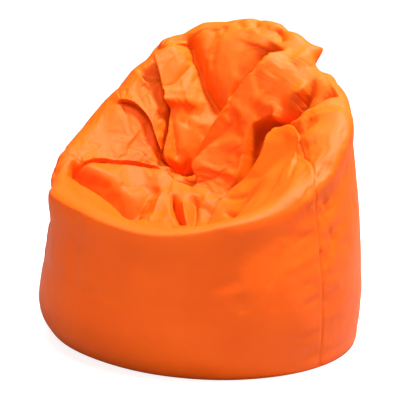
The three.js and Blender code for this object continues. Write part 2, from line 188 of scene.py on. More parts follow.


# Folds, each with its path as (angle, row) points, chosen on the surface. The high side of a
# lap lies to the left of its path, seen from outside.
#   crease: a sharp line pressed in;  valley: a soft furrow;  tent: a sharp raised line
#   lap: one side stands over the other, by rise above and sink below, and leans over it by lean; high
#        and low are how far each side takes to fade, and face is the step's width, face_end at its end
FOLDS = [
    # back left: the seam line running down from the top corner, and its two branches
    dict(kind="crease", path=[(217, 6.6), (215, 7.6), (215, 8.1)], depth=0.009, width=0.014),
    dict(kind="lap", path=[(216, 7.6), (215, 8.15), (213, 8.55), (210, 8.9), (210, 9.15)],
         rise=0.026, sink=0.032, lean=0.020, high=0.040, low=0.020, face=0.007),
    dict(kind="lap", path=[(210, 8.9), (211, 9.2), (215, 9.5), (220, 9.8), (227, 10.3)],
         rise=0.014, sink=0.024, lean=0.006, high=0.020, low=0.014, face=0.006),
    dict(kind="crease", path=[(209, 9.0), (208, 9.3), (206, 9.7), (200, 10.2)], depth=0.014, width=0.010),
    dict(kind="crease", path=[(211, 8.75), (203, 8.78), (196, 8.55), (194, 8.35)], depth=0.006, width=0.010),
    # left: the dark lap that bends down to the seat point
    dict(kind="lap", path=[(246, 7.75), (240, 8.15), (236, 8.45), (232, 8.8), (230, 9.05), (229.5, 9.4),
                           (228, 9.8), (224, 10.3)],
         rise=0.016, sink=0.014, lean=0.010, high=0.040, low=0.016, face=0.005),
    dict(kind="valley", path=[(229, 7.9), (222, 8.25), (216, 8.5)], depth=0.014, width=0.022),
    # back: the long soft valley and the bright cheek to its left
    dict(kind="crease", path=[(201, 7.4), (199, 7.9), (195, 8.3), (189, 8.6), (183, 8.85), (174, 9.05),
                              (162, 9.2), (150, 9.2)], depth=0.040, width=0.032),
    dict(kind="tent", path=[(208, 7.8), (205, 8.3), (200, 8.7), (195, 9.0), (188, 9.35)],
         depth=0.012, width=0.035),
    # back right: the great flap, its overhanging left edge and its crown
    dict(kind="lap", path=[(140, 7.7), (137, 8.05), (136.2, 8.45), (138, 8.8), (140, 9.15), (140, 9.55),
                           (135, 9.95), (118, 10.2), (85, 10.5)],
         rise=0.042, sink=0.044, lean=0.030, high=0.055, low=0.060, face=0.008),
    dict(kind="valley", path=[(143, 7.9), (143, 8.3), (146, 8.7), (150, 9.0)], depth=0.026, width=0.026),
    dict(kind="tent", path=[(137, 7.0), (132, 7.5), (129, 8.0), (127.5, 8.4), (127, 8.75), (128, 9.2)],
         depth=0.012, width=0.020),
    dict(kind="crease", path=[(130, 8.9), (131, 9.3), (131, 9.8), (120, 10.3)], depth=0.010, width=0.012),
    # right: the arm's inner edge, in two laps that stand over the two deep pits
    dict(kind="lap", path=[(107, 6.9), (105.5, 7.34), (102.5, 7.82), (102, 8.18), (107.5, 8.4),
                           (112, 8.54), (116, 8.64)],
         rise=0.006, sink=0.075, lean=0.0, high=0.050, low=0.026, face=0.010),
    dict(kind="lap", path=[(119, 8.5), (116, 8.64), (112.5, 8.72), (108, 8.78), (100.5, 8.86), (94.5, 9.0),
                           (87, 9.22), (78.5, 9.38), (64, 9.44), (48, 9.4), (32, 9.25)],
         rise=0.014, sink=0.085, lean=0.004, high=0.060, low=0.030, face=0.008),
    # the flap's right edge, over the same pits
    dict(kind="lap", path=[(86, 9.66), (95.5, 9.42), (106, 9.24), (116, 9.08), (121, 8.88), (119, 8.68),
                           (113, 8.56), (111, 8.4), (113, 8.2), (114.5, 8.02), (117, 7.78), (120, 7.5)],
         rise=0.012, sink=0.055, lean=0.006, high=0.030, low=0.028, face=0.009),
    # left front: the step that runs from the kink in the left seam down to the seat
    dict(kind="lap", path=[(280, 7.4), (283, 7.8), (288, 8.3), (294, 8.75), (300, 9.0), (310, 9.2),
                           (326, 9.3)],
         rise=0.012, sink=0.046, lean=0.0, high=0.040, low=0.022, face=0.030, face_end=0.085),
    dict(kind="lap", path=[(278, 7.4), (279, 7.6), (281, 7.95), (275, 8.3), (268, 8.9), (258, 9.5),
                           (243, 10.2)],
         rise=0.005, sink=0.009, lean=0.0, high=0.030, low=0.022, face=0.004),
    dict(kind="crease", path=[(296, 10.3), (306, 9.8), (318, 9.45), (326, 9.3)], depth=0.016, width=0.016),
    dict(kind="tent", path=[(325, 10.5), (331, 9.9), (336, 9.35)], depth=0.012, width=0.014),
    # the bag's mouth: small dark slots and creases round the seat point
    dict(kind="crease", path=[(240, 10.4), (205, 10.5), (165, 10.4), (141, 10.1)], depth=0.034, width=0.014),
    dict(kind="crease", path=[(0, 10.4), (8, 9.95), (13, 9.6), (15, 9.38)], depth=0.034, width=0.009),
    dict(kind="crease", path=[(60, 10.2), (38, 9.8), (28, 9.55), (22, 9.3)], depth=0.026, width=0.013),
    dict(kind="tent", path=[(25, 10.1), (21, 9.8), (18, 9.45)], depth=0.012, width=0.008),
    # the arc crease where the front rim turns into the arm
    dict(kind="crease", path=[(54, 9.2), (50, 8.9), (44, 8.5), (38, 8.2)], depth=0.008, width=0.010),
    # creases that run over the rim at the back right, either side of its pointed corner
    dict(kind="crease", path=[(152, 7.2), (147, 7.5), (143, 7.75)], depth=0.016, width=0.010),
    dict(kind="crease", path=[(168, 6.8), (164, 7.4), (160, 7.7)], depth=0.012, width=0.014),
    dict(kind="crease", path=[(117, 5.6), (120.5, 6.3), (124.5, 6.9), (126.5, 7.3), (126, 7.7)],
         depth=0.010, width=0.012),
    # pulls in the wall: under the left corner, and soft upright furrows in the front
    dict(kind="crease", path=[(283, 6.8), (287, 6.2), (292, 5.5), (300, 4.6)], depth=0.008, width=0.016),
    dict(kind="valley", path=[(268, 6.6), (272, 5.9), (278, 5.2), (286, 4.4)], depth=0.012, width=0.030),
    dict(kind="valley", path=[(331, 6.1), (328, 5.0), (326, 3.9)], depth=0.004, width=0.024),
    dict(kind="valley", path=[(345, 6.1), (347, 5.0), (347, 3.8)], depth=0.003, width=0.030),
    dict(kind="valley", path=[(20, 6.2), (22, 5.2), (25, 4.2)], depth=0.003, width=0.030),
    # the ridge over the top of the arm
    dict(kind="tent", path=[(96, 8.3), (93, 7.8), (92, 7.2), (95, 6.6)], depth=0.008, width=0.018),
]

# How many times its own width a fold reaches.
LAP_REACH = 3
LINE_REACH = 3.2

# Swellings and hollows: (angle, row, height, radius, power); power 1 is pointed and 2 is round.
SWELLS = [
    # the pointed corner at the back right and the notch below it
    (135, 6.2, 0.044, 0.020, 1.0),
    (130, 6.3, -0.034, 0.028, 2.0),
    (136, 5.5, -0.030, 0.030, 2.0),
    (144, 6.9, 0.008, 0.030, 2.0),
    # the broad top of the arm, up to its inner edge
    (80, 7.9, 0.016, 0.045, 2.0),
    (68, 8.5, 0.024, 0.055, 2.0),
    (48, 8.3, 0.014, 0.050, 2.0),
    # the left corner, and hollows in the seat
    (274, 6.8, 0.012, 0.030, 2.0),
    (298, 6.0, -0.012, 0.045, 2.0),
    (150, 7.6, -0.010, 0.040, 1.5),
    (270, 10.2, 0.012, 0.030, 1.5),
    (330, 9.6, -0.012, 0.035, 1.5),
    (160, 10.3, -0.018, 0.035, 1.5),
]

# Small creases scattered over the seat, over the wall and on the right wall by its seam: how many, the
# angles and rows they start in, their depth, and their length in degrees and rows.
CRUMPLES = [
    dict(count=80, rows=(7.3, 9.6), depth=(0.002, 0.005), turn=9, climb=0.8, width=(0.007, 0.016)),
    dict(count=40, rows=(3.4, 4.9), depth=(0.0008, 0.002), turn=9, climb=0.8, width=(0.010, 0.024)),
    dict(count=34, angles=(58, 88), rows=(3.9, 6.6), depth=(0.0012, 0.0030), turn=7, climb=0.35,
         width=(0.006, 0.013)),
]

# No small crease starts this near the back seam below this row, where the zip is.
ZIP_CLEAR_ANGLE = 12
ZIP_CLEAR_ROW = 7.2

# Round the front the wall stands up straight to a firm bend, where it turns over into the rim: (row, how
# far out, how far up). The bend fades out at both of its ends.
BEND = [
    (3.2, 0, 0), (4.0, 0.003, 0), (5.0, 0.016, 0.002), (5.6, 0.019, 0.010), (6.0, 0.020, 0.020),
    (6.3, 0.014, 0.018), (6.8, 0.004, 0.009), (7.2, 0, 0.003), (8.0, 0, 0),
]
BEND_MIDDLE = 348
BEND_HALF_ANGLE = 62
BEND_FADE = 30

# Corners of the rim's outline, where the cloth is stretched: (angle, lift), straight between them. They
# are whole at the middle one of the fade rows and gone at the other two.
RIM_FADE = (5.2, 7, 8.3)
RIM_CORNERS = [
    (98, -0.010), (110, 0.002), (150, -0.004), (154, 0.007), (160, 0.004), (170, 0.003), (182, -0.001),
    (193, 0.006), (203, -0.004), (213, 0.007), (221, -0.004), (228, 0.002), (235, -0.006), (242, 0.001),
    (256, -0.007), (276, 0.004), (290, -0.002), (300, 0.0),
]


def smooth_path(points, step=0.003):
    """Dense (angle, row) samples along a Catmull-Rom through the points, about one step apart."""
    knots = np.array(points, float)
    knots = np.vstack([2 * knots[0] - knots[1], knots, 2 * knots[-1] - knots[-2]])
    samples = []
    for i in range(1, len(knots) - 2):
        ends = surface(knots[i : i + 2, 0], knots[i : i + 2, 1])
        count = max(2, int(np.linalg.norm(ends[1] - ends[0]) / step))
        t = np.linspace(0, 1, count, endpoint=False)[:, None]
        samples.append(blend4(*knots[i - 1 : i + 3], t))
    samples.append(knots[-2:-1])
    return np.vstack(samples)


def near_path(points, fold_path, reach, batch=4000):
    """For the points near a fold: their indices, signed distance from it, and place along it, 0 to 1."""
    flat = smooth_path(fold_path)
    line = surface(flat[:, 0], flat[:, 1])
    up = normals(flat[:, 0], flat[:, 1])
    tangent = unit(np.gradient(line, axis=0))
    left = unit(np.cross(up, tangent))
    inside = np.all((points > line.min(0) - reach) & (points < line.max(0) + reach), axis=1)
    index = np.nonzero(inside)[0]
    nearest = np.zeros(len(index), int)
    for start in range(0, len(index), batch):
        part = points[index[start : start + batch]]
        gap = np.linalg.norm(part[:, None] - line[None], axis=2)
        nearest[start : start + batch] = gap.argmin(axis=1)
    offset = points[index] - line[nearest]
    distance = np.linalg.norm(offset, axis=1)
    keep = distance < reach
    index, nearest, offset, distance = index[keep], nearest[keep], offset[keep], distance[keep]
    side = np.sign(np.einsum("ij,ij->i", offset, left[nearest]))
    return index, side * distance, nearest / (len(line) - 1), left[nearest]


def eased(x):
    """0 up to 0, 1 from 1 on, and a smooth rise between them."""
    x = np.clip(x, 0, 1)
    return x * x * (3 - 2 * x)


def taper(along, ends=0.16):
    """1 in a fold's middle, easing to 0 at its ends."""
    return eased(np.minimum(along, 1 - along) / ends)


def rise_up(x):
    """0 up to 0, then steeply up to 1 at 1, with a crisp foot and a rounded top."""
    return 1 - (1 - np.clip(x, 0, 1)) ** 2


def add_fold(points, height, shift, fold):
    """Adds one fold's height and sideways shift to the points'."""
    kind = fold["kind"]
    reach = LAP_REACH * max(fold["high"], fold["low"]) if kind == "lap" else LINE_REACH * fold["width"]
    index, d, along, left = near_path(points, fold["path"], reach)
    size = taper(along) * (1 - (d / reach) ** 2) ** 2
    if kind == "lap":
        face = fold["face"] + (fold.get("face_end", fold["face"]) - fold["face"]) * along
        over = rise_up(d / face)
        beyond = np.maximum(d - face, 0)
        top = fold["rise"] * np.exp(-beyond / fold["high"])
        bottom = -fold["sink"] * np.exp(-np.maximum(-d, 0) / fold["low"])
        height[index] += size * (bottom * (1 - over) + top * over)
        lean = fold["lean"] * over * np.exp(-((2 * beyond / fold["high"]) ** 2))
        shift[index] -= (size * lean)[:, None] * left
        return
    power = 2.0 if kind == "valley" else 1.0
    sign = 1.0 if kind == "tent" else -1.0
    height[index] += sign * fold["depth"] * size * np.exp(-((np.abs(d) / fold["width"]) ** power))


def crumples(seed=7):
    """Short creases and furrows at seeded random places, as folds."""
    pick = random.Random(seed)
    folds = []
    for group in CRUMPLES:
        for _ in range(group["count"]):
            angle = pick.uniform(*group.get("angles", (0, 360)))
            row = pick.uniform(*group["rows"])
            if abs(angle - 180) < ZIP_CLEAR_ANGLE and row < ZIP_CLEAR_ROW:
                continue
            turn = pick.uniform(-1, 1) * group["turn"] * (1 + 0.6 * max(row - 8.5, 0))
            climb = pick.uniform(0.3, 1) * group["climb"]
            bend = pick.uniform(-0.25, 0.25) * turn
            path = [(angle, row), (angle + turn / 2 + bend, row + climb / 2), (angle + turn, row + climb)]
            kind = pick.choice(["crease", "valley"])
            folds.append(dict(kind=kind, path=path, depth=pick.uniform(*group["depth"]),
                              width=pick.uniform(*group["width"])))
    return folds


def puckers(seam, rows, seed):
    """The little pulls a stitched seam makes, running off to both sides of it."""
    pick = random.Random(seed)
    folds = []
    row = rows[0]
    while row < rows[1]:
        angle = float(seam_angle(seam, row))
        side = pick.choice([-1, 1])
        reach = side * pick.uniform(3, 13)
        rise = pick.uniform(-0.16, 0.22)
        path = [
            (angle + 0.1 * reach, row),
            (angle + 0.5 * reach, row + 0.7 * rise),
            (angle + reach, row + rise),
        ]
        folds.append(dict(kind="crease", path=path, depth=pick.uniform(0.0006, 0.0024),
                          width=pick.uniform(0.007, 0.013)))
        row += pick.uniform(0.05, 0.20)
    return folds


def rim_lift(angle, row):
    """How far the rim's corners stand out or in, fading down the wall and into the seat."""
    at, lift = np.array(RIM_CORNERS).T
    foot, crest, inner = RIM_FADE
    fade = eased(np.where(row < crest, (row - foot) / (crest - foot), (inner - row) / (inner - crest)))
    return np.interp(angle % 360, at, lift, left=0, right=0) * fade


def bend_shift(angle, row):
    """How far the wall stands out and up towards its bend, round the front."""
    rows, out, up = np.array(BEND).T
    away = np.abs((angle - BEND_MIDDLE + 180) % 360 - 180)
    fade = eased((BEND_HALF_ANGLE - away) / BEND_FADE)
    turn = np.radians(angle)
    out, up = fade * np.interp(row, rows, out), fade * np.interp(row, rows, up)
    return np.stack([out * np.sin(turn), -out * np.cos(turn), up], axis=-1)


def folded(angle, row):
    """Height above the smooth surface and sideways shift at each (angle, row)."""
    points = surface(angle, row).reshape(-1, 3)
    height = rim_lift(angle, row).ravel()
    shift = bend_shift(angle, row).reshape(-1, 3)
    for fold in FOLDS + SMALL_FOLDS:
        add_fold(points, height, shift, fold)
    for a, r, rise, radius, power in SWELLS:
        gap = np.linalg.norm(points - surface(a, r), axis=1)
        height += rise * np.exp(-((gap / radius) ** power))
    return height.reshape(np.shape(angle)), shift.reshape(*np.shape(angle), 3)


SMALL_FOLDS = crumples() + puckers(RIGHT_SEAM, (2.2, 7.9), 3) + puckers(LEFT_SEAM, (2.2, 7.4), 4)

# ---------------------------------------------------------------- meshes

# How many mesh rows lie between one profile point and the next, finest in the seat.
ROWS_BETWEEN = {1: 10, 2: 10, 3: 34, 4: 30, 5: 18, 6: 12, 7: 24, 8: 46, 9: 46, 10: 15}
PANEL_COLUMNS = 240
INNER_COLUMNS = 270

# The cloth simulation: its grid and frames, the cloth's excess and stiffness, the share of rows held at
# the foot, the rows held at the seat point, and the cap on any move.
SIM_COLUMNS = 96
SIM_SHARE = 0.5
SIM_FRAMES = 14
EXCESS_CLOTH = 0.026
BENDING = 0.2
HELD_FOOT = 0.1
HELD_TOP_ROWS = 3
SIM_CAP = 0.008
# The share of the simulated buckling kept at each row: little in the taut wall, all in the slack seat.
BUCKLING = [(1, 0.1), (3, 0.3), (5.2, 0.4), (6.6, 0.35), (7.3, 0.5), (7.9, 1)]

# How deep the cloth dips into a side seam, and how far from the seam.
SEAM_DIP = 0.0035
SEAM_DIP_WIDTH = 0.006

# The zip's slot in the back seam, and the zip's own frame: its foot on the wall, and its lean.
ZIP_SLOT_HALF = 0.008
ZIP_SLOT_RADIUS = 0.395
ZIP_SLOT_ROWS = (3.27, 4.43)
ZIP_FOOT = np.array([0, 0.40468, 0.17971])
ZIP_LEAN = 0.08617
ZIP_LENGTH = 0.330

# The tape and its coil, in the zip's frame.
TAPE = dict(inner=0.0008, outer=0.013, past_zip=0.012, top=-0.0044, bottom=-0.0051)
TAPE_RIBS = dict(height=0.00008, pitch=0.0016)
TAPE_WEAVE = dict(height=0.00005, pitch=0.002, slant=4000)
COIL = dict(pitch=0.0015, across=0.00215, half_width=0.00115, deep=-0.00295, half_depth=0.00075, wire=0.00028)

# Layers, as depths below the outer surface and the heights of their flat undersides.
LINER = dict(depth=0.0125, floor=0.0052)
FILL = dict(depth=0.0150, floor=0.0065)
CLOSURE = dict(angles=(184, 188), rows=(3.4, 4.1))
HOOKS = (0.0090, 0.0102)
LOOPS = (0.0106, 0.0116)
LABEL = dict(angles=(193, 197), rows=(2.0, 2.85))
LABEL_LAYER = (-0.0011, -0.0004)

# The underside panel: its two faces, the puckers round its edge, and its piping.
BASE_LOW = 0.0008
BASE_HIGH = 0.0030
BASE_PUCKERS = dict(count=23, height=0.0004)
BASE_ROUGHNESS = 0.0003
PIPING = dict(radius=0.0023, height=0.0032, reach=1.004)


def mesh_rows(share=1.0):
    """Every mesh row, from the edge of the underside to the seat point; share below 1 makes them fewer."""
    rows = []
    for start, count in ROWS_BETWEEN.items():
        count = max(3, round(count * share))
        rows += [start + k / count for k in range(count)]
    return np.array(rows + [LAST_ROW - 0.002])


def make_object(name, points, faces, flat_uv=None, face_materials=None):
    """A smooth-shaded mesh object; flat_uv gives each point's place on the cut cloth, in metres."""
    mesh = bpy.data.meshes.new(name)
    mesh.from_pydata([tuple(p) for p in np.asarray(points)], [], faces)
    mesh.polygons.foreach_set("use_smooth", [True] * len(mesh.polygons))
    if flat_uv is not None:
        corner = np.zeros(len(mesh.loops), int)
        mesh.loops.foreach_get("vertex_index", corner)
        layer = mesh.uv_layers.new(name="cloth")
        layer.data.foreach_set("uv", np.asarray(flat_uv, float)[corner].ravel())
    if face_materials is not None:
        mesh.polygons.foreach_set("material_index", face_materials)
    mesh.update()
    obj = bpy.data.objects.new(name, mesh)
    bpy.context.scene.collection.objects.link(obj)
    return obj


def grid_faces(columns, rows, closed=False):
    """Quads over a grid stored row by row, facing out; closed joins the last column to the first."""
    j, i = np.meshgrid(np.arange(rows - 1), np.arange(columns if closed else columns - 1), indexing="ij")
    a, b = (j * columns + i).ravel(), (j * columns + (i + 1) % columns).ravel()
    return np.column_stack([a, b, b + columns, a + columns]).tolist()


def soften(points, closed=False):
    """One light smoothing of a grid of points, its edges held."""
    around = np.roll(points, 1, axis=1) + np.roll(points, -1, axis=1)
    result = points.copy()
    result[1:-1] = 0.5 * points[1:-1] + 0.125 * (around[1:-1] + points[:-2] + points[2:])
    if not closed:
        result[:, 0], result[:, -1] = points[:, 0], points[:, -1]
    return result


def cloth_uv(points):
    """Each grid point's place on the cloth: metres along its row, and metres up the middle column."""
    across = np.linalg.norm(np.diff(points, axis=1), axis=2)
    u = np.concatenate([np.zeros((len(points), 1)), across.cumsum(axis=1)], axis=1)
    u -= u[:, [u.shape[1] // 2]]
    middle = points[:, points.shape[1] // 2]
    v = np.concatenate([[0], np.linalg.norm(np.diff(middle, axis=0), axis=1).cumsum()])
    return np.stack([u, np.broadcast_to(v[:, None], u.shape)], axis=2).reshape(-1, 2)


def slot_angle(row, point=0.02):
    """Half the zip slot's width at each row, in degrees, closing to a point at both ends."""
    low, high = ZIP_SLOT_ROWS
    share = np.clip(np.minimum(row - low, high - row) / point, 0, 1)
    return np.degrees(ZIP_SLOT_HALF / ZIP_SLOT_RADIUS) * share


def panel_grid(right_hand, left_hand, rows, columns):
    """A side panel's (angle, row) grid between its two seams, opened round the zip."""
    across = np.linspace(0, 1, columns + 1)
    low = seam_angle(right_hand, rows)
    high = seam_angle(left_hand, rows)
    high = np.where(high < low, high + 360, high)
    if right_hand is BACK_SEAM:
        low = low + slot_angle(rows)
    if left_hand is BACK_SEAM:
        high = high - slot_angle(rows)
    angle = low[:, None] + (high - low)[:, None] * across
    return angle, np.broadcast_to(rows[:, None], angle.shape), across


def panel_points(angle, row, across):
    """A side panel's points, dipping into the seams along both of its edges."""
    base = surface(angle, row)
    height, shift = folded(angle, row)
    turn = np.radians(angle[:, -1:] - angle[:, :1])
    width = np.maximum(turn * np.linalg.norm(base[..., :2], axis=2), 0.02)
    dip = SEAM_DIP * np.exp(-np.minimum(across, 1 - across) * width / SEAM_DIP_WIDTH)
    return soften(base + normals(angle, row) * (height - dip)[..., None] + shift)


def buckled(points, name):
    """How a sheet of points moves when its cloth is a little too large for it, by cloth simulation."""
    rows, columns = points.shape[:2]
    sheet = make_object(name, points.reshape(-1, 3), grid_faces(columns, rows))
    edge = np.zeros((rows, columns), bool)
    edge[: round(rows * HELD_FOOT)] = True
    edge[-HELD_TOP_ROWS:] = True
    edge[:, 0] = edge[:, -1] = True
    held = sheet.vertex_groups.new(name="held")
    held.add(np.nonzero(edge.ravel())[0].tolist(), 1.0, "REPLACE")
    cloth = sheet.modifiers.new("cloth", "CLOTH")
    settings = cloth.settings
    settings.quality = 6
    settings.mass = 0.2
    settings.tension_stiffness = 30
    settings.compression_stiffness = 30
    settings.shear_stiffness = 12
    settings.bending_stiffness = BENDING
    settings.air_damping = 4
    settings.shrink_min = -EXCESS_CLOTH
    settings.shrink_max = -EXCESS_CLOTH
    settings.vertex_group_mass = "held"
    settings.effector_weights.gravity = 0
    cloth.collision_settings.use_collision = False
    cloth.point_cache.frame_start = 1
    cloth.point_cache.frame_end = SIM_FRAMES
    for number in range(1, SIM_FRAMES + 1):
        bpy.context.scene.frame_set(number)
    result = sheet.evaluated_get(bpy.context.evaluated_depsgraph_get()).data
    moved = np.zeros(rows * columns * 3, np.float32)
    result.vertices.foreach_get("co", moved)
    bpy.data.objects.remove(sheet)
    bpy.context.scene.frame_set(1)
    move = moved.reshape(rows, columns, 3) - points
    length = np.linalg.norm(move, axis=2, keepdims=True)
    return move * np.minimum(1, SIM_CAP / np.maximum(length, 1e-9))


def spread(coarse, rows_from, rows_to, columns):
    """A coarse grid's vectors, read off smoothly on a finer grid over the same panel."""
    across_from = np.linspace(0, 1, coarse.shape[1])
    across_to = np.linspace(0, 1, columns + 1)
    fine = np.empty((len(rows_to), columns + 1, 3))
    for axis in range(3):
        wide = np.array([np.interp(across_to, across_from, line) for line in coarse[..., axis]])
        fine[..., axis] = np.array([np.interp(rows_to, rows_from, line) for line in wide.T]).T
    for _ in range(3):
        fine = soften(fine)
    return fine


def make_panel(name, right_hand, left_hand):
    """One side panel of the cover, with the buckles that its spare cloth makes."""
    rows = mesh_rows()
    angle, row, across = panel_grid(right_hand, left_hand, rows, PANEL_COLUMNS)
    points = panel_points(angle, row, across)
    few = mesh_rows(SIM_SHARE)
    sim_angle, sim_row, sim_across = panel_grid(right_hand, left_hand, few, SIM_COLUMNS)
    move = buckled(panel_points(sim_angle, sim_row, sim_across), name + "_sim")
    move = move * np.interp(few, *np.array(BUCKLING).T)[:, None, None]
    points = points + spread(move, few, rows, PANEL_COLUMNS)
    faces = grid_faces(PANEL_COLUMNS + 1, len(points))
    return make_object(name, points.reshape(-1, 3), faces, cloth_uv(points))


def sunk(height):
    """The lowest height near each grid point, which keeps inner layers clear of the cover's laps."""
    for _ in range(3):
        padded = np.vstack([height[:1], height, height[-1:]])
        beside = np.minimum(np.roll(height, 1, axis=1), np.roll(height, -1, axis=1))
        height = np.minimum(np.minimum(height, beside), np.minimum(padded[:-2], padded[2:]))
    return height


def make_inner(name, base, up, height, depth, floor, ripple):
    """A closed layer inside the cover, following its folds at a depth; ripple is its own unevenness."""
    rng = np.random.default_rng(5)
    bumps = rng.normal(size=height.shape)
    for _ in range(3):
        beside = np.roll(bumps, 1, 1) + np.roll(bumps, -1, 1)
        bumps = 0.25 * (np.roll(bumps, 1, 0) + np.roll(bumps, -1, 0) + beside)
    bumps /= np.abs(bumps).max()
    points = soften(base + up * (height - depth - ripple * (1 + bumps))[..., None], closed=True)
    points[..., 2] = np.maximum(points[..., 2], floor)
    return make_object(name, points.reshape(-1, 3), grid_faces(INNER_COLUMNS, len(points), closed=True))


def slab(name, top, bottom):
    """A closed thin piece between two grids of points, top facing out."""
    rows, columns = top.shape[:2]
    count = rows * columns
    faces = grid_faces(columns, rows)
    faces += [[a + count for a in reversed(face)] for face in faces]
    edge = [(0, i) for i in range(columns)] + [(j, columns - 1) for j in range(1, rows)]
    edge += [(rows - 1, i) for i in range(columns - 2, -1, -1)] + [(j, 0) for j in range(rows - 2, 0, -1)]
    ring = [j * columns + i for j, i in edge]
    for a, b in zip(ring, ring[1:] + ring[:1]):
        faces.append([b, a, a + count, b + count])
    points = np.concatenate([top.reshape(-1, 3), bottom.reshape(-1, 3)])
    uv = np.tile(cloth_uv(top), (2, 1))
    return make_object(name, points, faces, uv)


def patch(name, angles, rows, layer, pile=0.0, steps=(24, 60)):
    """A thin piece lying on the folded surface between two depths, with an uneven pile on its face."""
    angle, row = np.meshgrid(np.linspace(*angles, steps[0]), np.linspace(*rows, steps[1]))
    height, shift = folded(angle, row)
    outer = surface(angle, row) + normals(angle, row) * height[..., None] + shift
    up = normals(angle, row)
    rng = np.random.default_rng(8)
    rough = pile * rng.random(angle.shape)
    return slab(name, outer - up * (layer[0] + rough)[..., None], outer - up * layer[1])


def in_zip(points):
    """Points in the zip's frame (x across, y out of the wall, z up the zip) put in their place."""
    x, y, z = np.moveaxis(np.asarray(points, float), -1, 0)
    c, s = math.cos(ZIP_LEAN), math.sin(ZIP_LEAN)
    return np.stack([x, y * c - z * s, y * s + z * c], axis=-1) + ZIP_FOOT


def zip_tape(name, side):
    """A woven tape: ribs along its length, with slanting rows of weave across them."""
    across = np.linspace(TAPE["inner"], TAPE["outer"], 26)
    up = np.linspace(-TAPE["past_zip"], ZIP_LENGTH + TAPE["past_zip"], 355)
    across, up = np.meshgrid(across, up)
    rib = TAPE_RIBS["height"] * np.sin(across * 2 * np.pi / TAPE_RIBS["pitch"])
    rows = up * 2 * np.pi / TAPE_WEAVE["pitch"] + across * TAPE_WEAVE["slant"]
    rib = rib + TAPE_WEAVE["height"] * np.sin(rows)
    top = np.stack([side * across, TAPE["top"] + rib, up], axis=2)
    bottom = np.stack([side * across, np.full_like(up, TAPE["bottom"]), up], axis=2)
    if side > 0:
        top, bottom = top[:, ::-1], bottom[:, ::-1]
    return slab(name, in_zip(top), in_zip(bottom))


def tube(line, radius, sides=6, closed=False):
    """Points and faces of a round tube along a line."""
    ahead = np.roll(line, -1, 0) - np.roll(line, 1, 0) if closed else np.gradient(line, axis=0)
    ahead = unit(ahead)
    aside = unit(np.cross(ahead, np.where(np.abs(ahead[:, :1]) > 0.9, [[0, 1, 0]], [[1, 0, 0]])))
    over = np.cross(ahead, aside)
    turn = np.linspace(0, 2 * np.pi, sides, endpoint=False)
    ring = np.cos(turn)[None, :, None] * aside[:, None] + np.sin(turn)[None, :, None] * over[:, None]
    points = line[:, None] + radius * ring
    faces = []
    last = len(line) if closed else len(line) - 1
    for k in range(last):
        for i in range(sides):
            a, b = k * sides + i, k * sides + (i + 1) % sides
            c, d = (k + 1) % len(line) * sides + i, (k + 1) % len(line) * sides + (i + 1) % sides
            faces.append([a, b, d, c])
    if not closed:
        faces.append(list(range(sides - 1, -1, -1)))
        faces.append([(len(line) - 1) * sides + i for i in range(sides)])
    return points.reshape(-1, 3), faces


def zip_coil(name, side):
    """A nylon monofilament wound along the tape's edge, one turn for each tooth."""
    turns = int(ZIP_LENGTH / COIL["pitch"])
    t = np.linspace(0, turns, turns * 9)
    phase = 2 * np.pi * t
    across = side * (COIL["across"] + COIL["half_width"] * np.cos(phase))
    out = COIL["deep"] + COIL["half_depth"] * np.sin(phase)
    line = np.stack([across, out, t * COIL["pitch"]], axis=1)
    points, faces = tube(in_zip(line), COIL["wire"], sides=5)
    return make_object(name, points, faces)


def base_panel(name):
    """The round underside, a little uneven and puckered at its edge, with a cord piped round it."""
    angle = np.linspace(0, 360, 160, endpoint=False)
    edge = surface(angle, np.full_like(angle, 1.0))
    fraction = np.linspace(0.02, 0.995, 34)[::-1]
    rng = np.random.default_rng(2)
    waves = BASE_PUCKERS["height"] * np.sin(np.radians(angle) * BASE_PUCKERS["count"])
    uneven = waves[None] * fraction[:, None] ** 3
    uneven = uneven + BASE_ROUGHNESS * rng.random((len(fraction), len(angle)))
    low = edge[None] * fraction[:, None, None]
    low[..., 2] = BASE_LOW + uneven
    count = len(angle)
    points = low.reshape(-1, 3)
    faces = grid_faces(count, len(fraction), closed=True)
    start = (len(fraction) - 1) * count
    faces.append([start + i for i in range(count)])
    top = low.copy()
    top[..., 2] = BASE_HIGH
    faces += [[a + len(points) for a in reversed(face)] for face in faces]
    points = np.concatenate([points, top.reshape(-1, 3)])
    rim = edge * PIPING["reach"]
    rim[:, 2] = PIPING["height"]
    cord, cord_faces = tube(rim, PIPING["radius"], sides=8, closed=True)
    faces += [[a + len(points) for a in face] for face in cord_faces]
    return make_object(name, np.concatenate([points, cord]), faces)


# ---------------------------------------------------------------- materials


def new_material(name):
    """A new material, with its nodes, its links and its main shader."""
    material = bpy.data.materials.new(name)
    material.use_nodes = True
    nodes = material.node_tree.nodes
    shader = nodes["Principled BSDF"]
    return material, nodes, material.node_tree.links, shader


def noise(nodes, links, vector, scale, detail=3.0, roughness=0.5):
    """A noise texture's value."""
    texture = nodes.new("ShaderNodeTexNoise")
    texture.inputs["Scale"].default_value = scale
    texture.inputs["Detail"].default_value = detail
    texture.inputs["Roughness"].default_value = roughness
    links.new(vector, texture.inputs["Vector"])
    return texture.outputs["Fac"]


def bands(nodes, links, vector, scale, direction):
    """A wave texture's value, in bands across one direction."""
    texture = nodes.new("ShaderNodeTexWave")
    texture.bands_direction = direction
    texture.inputs["Scale"].default_value = scale
    links.new(vector, texture.inputs["Vector"])
    return texture.outputs["Fac"]


